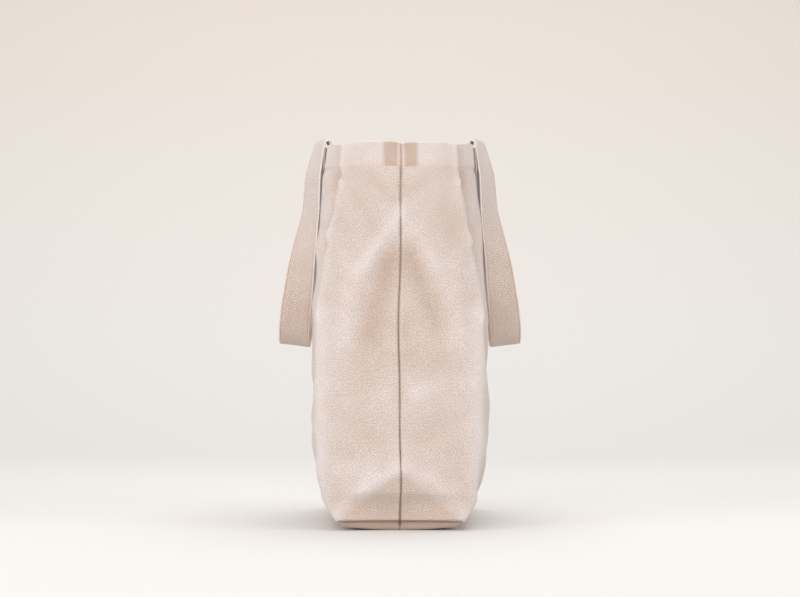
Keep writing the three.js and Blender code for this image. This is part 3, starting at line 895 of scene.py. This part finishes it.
def tube_faces(start, rings):
    """Faces of a closed tube of rings, whose first point has the index start."""
    faces = []
    for ring in range(rings - 1):
        for k in range(THREAD_SIDES):
            a = start + ring * THREAD_SIDES + k
            b = start + ring * THREAD_SIDES + (k + 1) % THREAD_SIDES
            faces.append((a, b, b + THREAD_SIDES, a + THREAD_SIDES))
    last = start + (rings - 1) * THREAD_SIDES
    faces.append(tuple(start + k for k in range(THREAD_SIDES))[::-1])
    faces.append(tuple(last + k for k in range(THREAD_SIDES)))
    return faces


def stitch_row(points, outward):
    """Separate stitches along a path: short threads that sink at both ends."""
    lengths = path_lengths(points)
    verts, faces = [], []
    for n in range(int(lengths[-1] / STITCH_PITCH)):
        middle = (n + 0.5) * STITCH_PITCH
        here = along_path(middle, lengths, points)
        ahead = along_path(middle + STITCH_PITCH / 2, lengths, points)
        ahead = unit(ahead - along_path(middle - STITCH_PITCH / 2, lengths, points))
        out = unit(along_path(middle, lengths, outward))
        beside = np.cross(ahead, out)
        faces += tube_faces(len(verts), len(STITCH_RINGS))
        for share, thick, rise in STITCH_RINGS:
            centre = here + ahead * (share * STITCH_LENGTH) + out * (rise * THREAD_RADIUS)
            verts += ring_points(centre, beside, out, THREAD_RADIUS * thick)
    return verts, faces


def thread_piece(name, parts, nodes):
    verts, faces = [], []
    for part_verts, part_faces in parts:
        start = len(verts)
        verts += [tuple(v) for v in part_verts]
        faces += [tuple(start + k for k in face) for face in part_faces]
    mesh = bpy.data.meshes.new(name)
    mesh.from_pydata(verts, [], faces)
    mesh.update()
    make_smooth(mesh)
    mesh.materials.append(thread_material())
    thing = add_object(name, mesh)
    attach(thing, "bag")
    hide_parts(*nodes)


def hem_stitches(panels):
    parts = []
    for panel in panels:
        girths = np.arange(2 * MM, FLAT_WIDTH - 2 * MM, 1 * MM)
        heights = np.full(len(girths), HEM_START - 0.4 * MM)
        points = panel.at(girths, heights, 0.15 * MM)
        outward = panel.outwards(girths, heights)
        parts.append(stitch_row(points, outward))
        inner = panel.at(girths, heights + 3 * MM, -2 * RIM_ROLL - 0.15 * MM)
        parts.append(stitch_row(inner, -outward))
    thread_piece("hem_stitches", parts, ["hem_thread"])


def box_stitches(panel, near):
    """A sewn box with a cross, through the hem and the webbing end behind it."""
    half_width = STRAP_WIDTH / 2 - STITCH_INSET
    low = HEM_START + STITCH_INSET
    high = BAG_HEIGHT - RIM_CLEAR - STITCH_INSET
    middle = HANDLE_GIRTH if near else FLAT_WIDTH - HANDLE_GIRTH
    left, right = middle - half_width, middle + half_width
    lines = [((left, low), (right, low)), ((right, low), (right, high)),
             ((right, high), (left, high)), ((left, high), (left, low)),
             ((left, low), (right, high)), ((left, high), (right, low))]
    behind = 2 * RIM_ROLL + SEAM_GAP + STRAP_THICKNESS
    parts = []
    for start, stop in lines:
        girths = np.linspace(start[0], stop[0], 16)
        heights = np.linspace(start[1], stop[1], 16)
        outward = panel.outwards(girths, heights)
        parts.append(stitch_row(panel.at(girths, heights, 0.1 * MM), outward))
        parts.append(stitch_row(panel.at(girths, heights, 0.05 * MM - behind), -outward))
    end = "right" if near else "left"
    thread_piece(f"{panel.name}_handle_{end}_box_stitches", parts,
                 [f"{panel.name}_handle_stitch_{end}"])


def overlock(path, inward, across, half_thickness):
    """Thread wound over a raw edge: a tube that loops round it again and again."""
    gap = 0.25 * MM
    thick = half_thickness + OVERLOCK_RADIUS
    loop = [(-OVERLOCK_REACH, thick), (gap, thick * 0.8),
            (gap, -thick * 0.8), (-OVERLOCK_REACH, -thick)]
    lengths = path_lengths(path)
    centres = []
    for n in range(int(lengths[-1] / OVERLOCK_PITCH)):
        for k, (along, aside) in enumerate(loop):
            here = along_path((n + k / len(loop)) * OVERLOCK_PITCH, lengths, path)
            centres.append(here + inward * along + across * aside)
    heading = unit(np.gradient(np.array(centres), axis=0))
    up = np.cross(inward, across)
    verts = []
    for centre, ahead in zip(centres, heading):
        first = unit(np.cross(ahead, up))
        verts += ring_points(centre, first, np.cross(ahead, first), OVERLOCK_RADIUS)
    return verts, tube_faces(0, len(centres))


def side_overlock(panels, near):
    tall = seam_rows(panels[0])
    column = 0 if near else -1
    inward = np.array([0, 1.0 if near else -1.0, 0])
    path = (panels[0].place[tall, column] + panels[1].place[tall, column]) / 2
    path = path + inward * ALLOWANCE
    part = overlock(path, inward, np.array([1.0, 0, 0]), CANVAS + SEAM_GAP / 2)
    end = "right" if near else "left"
    thread_piece(f"side_seam_overlock_{end}", [part], [f"side_seam_thread_{end}"])


def corner_overlock(panels, near):
    way = 1 if near else -1
    edges = [panel.place[0][::way][:panel.corner - 3] for panel in panels]
    path = np.concatenate([edges[0][::-1], edges[1][1:]])
    inward = np.array([0, way * math.cos(FLAP_RISE), math.sin(FLAP_RISE)])
    across = np.array([0, -way * math.sin(FLAP_RISE), math.cos(FLAP_RISE)])
    path = path + inward * ALLOWANCE + across * 0.7 * MM
    part = overlock(path, inward, across, CANVAS + 0.2 * MM)
    end = "right" if near else "left"
    thread_piece(f"corner_seam_overlock_{end}", [part], [f"corner_seam_thread_{end}"])


def base_overlock():
    low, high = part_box("base_seam_thread")
    y = np.arange(low.y + 5 * MM, high.y - 5 * MM, 2 * MM)
    path = np.stack([0 * y, y, np.full(len(y), high.z - 1 * MM)], axis=1)
    down = np.array([0, 0, -1.0])
    part = overlock(path, down, np.array([1.0, 0, 0]), CANVAS + SEAM_GAP / 2)
    thread_piece("base_seam_overlock", [part], ["base_seam_thread"])


# ---- materials ----

class Nodes:
    """A material's node tree, with short calls for the nodes that the cloths use."""

    def __init__(self, name):
        self.material = bpy.data.materials.new(name)
        self.material.use_nodes = True
        self.tree = self.material.node_tree
        self.tree.nodes.clear()
        self.shader = self.tree.nodes.new("ShaderNodeBsdfPrincipled")
        output = self.tree.nodes.new("ShaderNodeOutputMaterial")
        self.join(self.shader.outputs[0], output.inputs[0])

    def join(self, source, target):
        if isinstance(source, (int, float, tuple)):
            target.default_value = source
        else:
            self.tree.links.new(source, target)

    def add(self, kind, sources):
        """A node, with what its inputs hold, by their names or numbers."""
        node = self.tree.nodes.new("ShaderNode" + kind)
        for key, source in sources.items():
            self.join(source, node.inputs[key])
        return node

    def attribute(self, name, output):
        node = self.add("Attribute", {})
        node.attribute_name = name
        return node.outputs[output]

    def math(self, operation, first, second=0.0, third=0.0):
        node = self.add("Math", {0: first, 1: second, 2: third})
        node.operation = operation
        return node.outputs[0]

    def plus(self, value, other, share=1.0):
        """value + other * share"""
        return self.math("ADD", value, self.math("MULTIPLY", other, share))

    def vary(self, value, field, amount):
        """value, raised or lowered by a noise field that lies around a half."""
        return self.plus(value, self.math("SUBTRACT", field, 0.5), amount)

    def parts(self, vector):
        return self.add("SeparateXYZ", {0: vector}).outputs

    def noise(self, vector, scale, detail=3.0, roughness=0.55):
        sources = {"Vector": vector, "Scale": scale, "Detail": detail, "Roughness": roughness}
        return self.add("TexNoise", sources).outputs[0]

    def spread(self, value, low, high, to_low=0.0, to_high=1.0):
        sources = {"Value": value, "From Min": low, "From Max": high, "To Min": to_low,
                   "To Max": to_high}
        return self.add("MapRange", sources).outputs[0]

    def blend(self, share, first, second):
        node = self.tree.nodes.new("ShaderNodeMix")
        node.data_type = "RGBA"
        for key, source in (("Factor", share), (6, first), (7, second)):
            self.join(source, node.inputs[key])
        return node.outputs[2]

    def bump(self, height, strength, distance, below=None):
        sources = {"Strength": strength, "Distance": distance, "Height": height}
        if below is not None:
            sources["Normal"] = below
        return self.add("Bump", sources).outputs[0]

    def wave(self, value, pitch):
        """A smooth wave along value, -1 to 1, once in each pitch."""
        return self.math("SINE", self.math("MULTIPLY", value, 2 * math.pi / pitch))


def linear(red, green, blue):
    """Shader colour of an sRGB colour given in 0 to 255."""
    values = [c / 255 for c in (red, green, blue)]
    values = [c / 12.92 if c <= 0.04045 else ((c + 0.055) / 1.055) ** 2.4 for c in values]
    return (*values, 1.0)


def cloth_finish(n, colour, bump, roughness):
    n.join(colour, n.shader.inputs["Base Color"])
    n.join(bump, n.shader.inputs["Normal"])
    n.join(roughness, n.shader.inputs["Roughness"])
    n.shader.inputs["Specular IOR Level"].default_value = 0.25
    n.shader.inputs["Sheen Weight"].default_value = 0.8
    n.shader.inputs["Sheen Roughness"].default_value = 0.5
    n.shader.inputs["Sheen Tint"].default_value = (1.0, 0.98, 0.97, 1.0)


@functools.cache
def canvas_material():
    n = Nodes("canvas")
    weave = n.attribute("weave", "Vector")
    tone = n.attribute("tone", "Fac")
    u, v, _ = n.parts(weave)
    unevenness = n.noise(weave, 260.0)
    rib = n.wave(n.vary(n.math("ADD", u, v), unevenness, 1.1 * MM), 2.6 * MM)
    cross = n.wave(n.vary(n.plus(u, v, -0.6), unevenness, 1.1 * MM), 1.7 * MM)
    twill = n.plus(n.math("MULTIPLY", rib, 0.6), cross, 0.4)
    grain = n.noise(weave, 900.0, 2.0)
    slub = n.noise(n.add("CombineXYZ", {0: n.math("MULTIPLY", u, 0.25), 1: v}).outputs[0], 620.0)
    cloud = n.noise(weave, 21.0, 4.0, 0.6)
    # the tone attribute carries painted light and painted shade into the colour
    light = n.plus(0.44, tone, 0.8)
    light = n.vary(light, cloud, 0.7)
    light = n.vary(light, grain, 2.8)
    light = n.plus(light, twill, 0.62)
    light = n.vary(light, slub, 0.4)
    colour = n.blend(n.spread(light, 0.0, 1.0), linear(205, 177, 157), linear(253, 244, 244))
    # painted shade: where the tone is lowest, in seam grooves and along the boxed corners' seams,
    # the colour darkens to deep brown
    colour = n.blend(n.spread(tone, -2.0, -0.70), linear(132, 98, 78), colour)
    relief = n.plus(n.plus(twill, grain, 1.6), slub, 1.2)
    bump = n.bump(relief, 0.8, 0.4 * MM, n.bump(n.noise(weave, 75.0, 4.0), 0.30, 1.2 * MM))
    cloth_finish(n, colour, bump, n.spread(grain, 0.3, 0.7, 0.82, 0.95))
    return n.material


@functools.cache
def webbing_material():
    n = Nodes("webbing")
    weave = n.attribute("weave", "Vector")
    tone = n.attribute("tone", "Fac")
    u, v, _ = n.parts(weave)
    column = 4.6 * MM
    fold = n.math("PINGPONG", u, column)
    unevenness = n.noise(weave, 330.0)
    chevron = n.wave(n.vary(n.math("ADD", v, fold), unevenness, 1.2 * MM), 2.7 * MM)
    yarn = n.wave(n.vary(u, unevenness, 1.2 * MM), 1.0 * MM)
    grain = n.noise(weave, 850.0, 2.0)
    cloud = n.noise(weave, 26.0, 4.0)
    edge = n.spread(n.math("ABSOLUTE", u), STRAP_WIDTH * 0.43, STRAP_WIDTH * 0.455)
    herring = n.math("MULTIPLY", chevron, n.math("SUBTRACT", 1.0, edge))
    # painted shade in the groove beside each woven edge
    groove = n.math("COMPARE", n.math("ABSOLUTE", u), STRAP_WIDTH * 0.44, 0.45 * MM)
    light = n.plus(0.45, tone, 0.6)
    light = n.plus(light, herring, 0.55)
    light = n.plus(light, yarn, 0.05)
    light = n.vary(light, grain, 1.4)
    light = n.vary(light, cloud, 0.7)
    light = n.plus(light, edge, 0.12)
    light = n.plus(light, groove, -0.7)
    colour = n.blend(n.spread(light, 0.0, 1.0), linear(212, 168, 137), linear(255, 243, 238))
    relief = n.plus(n.plus(herring, grain, 1.6), yarn, 0.4)
    cloth_finish(n, colour, n.bump(relief, 0.8, 0.6 * MM), n.spread(grain, 0.3, 0.7, 0.8, 0.95))
    return n.material


@functools.cache
def thread_material():
    n = Nodes("thread")
    place = n.add("TexCoord", {}).outputs["Object"]
    twist = n.noise(place, 1900.0, 2.0)
    colour = n.blend(n.spread(twist, 0.3, 0.7), linear(214, 196, 178), linear(246, 238, 228))
    cloth_finish(n, colour, n.bump(twist, 0.6, 0.15 * MM), n.spread(twist, 0.3, 0.7, 0.6, 0.8))
    return n.material


@functools.cache
def floor_material():
    n = Nodes("floor")
    place = n.add("TexCoord", {}).outputs["Object"]
    # painted shade: the sweep is painted darker and warmer as it rises, standing in for light
    # falling off up the backdrop
    _, _, height = n.parts(place)
    rise = n.spread(height, 0.0, 1.2)
    colour = n.blend(rise, linear(238, 237, 235), linear(231, 221, 211))
    n.join(colour, n.shader.inputs["Base Color"])
    n.shader.inputs["Roughness"].default_value = 0.75
    n.shader.inputs["Specular IOR Level"].default_value = 0.2
    return n.material


# ---- studio ----

CAMERA_LENS = 117               # in mm, on a sensor 36 mm wide
CAMERA_DISTANCE = 2.6           # from the near side seam
CAMERA_HEIGHT = 0.2325
SEAM_INSET = 13 * MM            # how far the side seam lies inside the belly's end


def make_floor():
    """A pale floor that curves up slowly into a backdrop, low enough to look over from behind."""
    start, bend, front, half = 1.2, 3.4, -5.0, 5.0
    profile = [(front, 0.0), (0.6, 0.0), (start, 0.0)]
    for angle in np.linspace(0, math.pi * 0.42, 24)[1:]:
        profile.append((start + bend * math.sin(angle), bend * (1 - math.cos(angle))))
    verts = [(x, y, z) for y, z in profile for x in (-half, half)]
    faces = [(2 * k, 2 * k + 1, 2 * k + 3, 2 * k + 2) for k in range(len(profile) - 1)]
    mesh = bpy.data.meshes.new("floor")
    mesh.from_pydata(verts, [], faces)
    make_smooth(mesh)
    mesh.materials.append(floor_material())
    add_object("floor", mesh)


def area_light(name, place, target, size, power, colour):
    light = bpy.data.lights.new(name, "AREA")
    light.shape = "RECTANGLE"
    light.size, light.size_y = size
    light.energy = power
    light.color = colour
    lamp = add_object(name, light)
    lamp.location = place
    lamp.rotation_euler = (Vector(target) - Vector(place)).to_track_quat("-Z", "Y").to_euler()


def make_lights():
    world = bpy.data.worlds.new("studio")
    bpy.context.scene.world = world
    world.use_nodes = True
    sky = world.node_tree.nodes["Background"]
    sky.inputs["Color"].default_value = (1.0, 0.98, 0.965, 1.0)
    sky.inputs["Strength"].default_value = 0.47
    area_light("overhead", (0.1, 0.45, 2.2), (0, 0, 0.1), (1.8, 1.8), 25, (1.0, 0.99, 0.975))
    area_light("front", (-0.5, -3.0, 1.2), (0, 0, 0.2), (1.6, 1.2), 24.5, (1.0, 0.99, 0.98))
    area_light("left", (-1.9, -1.5, 1.3), (0, 0, 0.2), (1.4, 1.6), 16, (1.0, 0.985, 0.965))
    area_light("right", (1.9, -0.9, 1.1), (0, 0, 0.2), (1.2, 1.4), 10, (1.0, 0.985, 0.975))
    area_light("backdrop", (0, 1.6, 2.6), (0, 4.4, 2.04), (4.0, 1.0), 41, (1.0, 0.985, 0.96))


def make_camera():
    """Level, facing the bag's right end from far enough for its flat perspective."""
    seam_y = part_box("front_panel")[0].y + SEAM_INSET
    camera = bpy.data.cameras.new("camera")
    camera.lens = CAMERA_LENS
    camera.sensor_width = 36
    view = add_object("camera", camera)
    view.location = (0.0, seam_y - CAMERA_DISTANCE, CAMERA_HEIGHT)
    view.rotation_euler = (math.pi / 2, 0, 0)
    bpy.context.scene.camera = view


# ---- the bag ----

make_camera()
panels = (Panel(-1), Panel(1))
cloths = [make_panel(panel) for panel in panels]
hem_stitches(panels)
base_overlock()
for panel in panels:
    for near in (True, False):
        box_stitches(panel, near)
for near in (True, False):
    side_overlock(panels, near)
    corner_overlock(panels, near)

for panel in panels:
    make_handle(panel)
make_floor()
make_lights()
bpy.context.scene.view_settings.view_transform = "Standard"
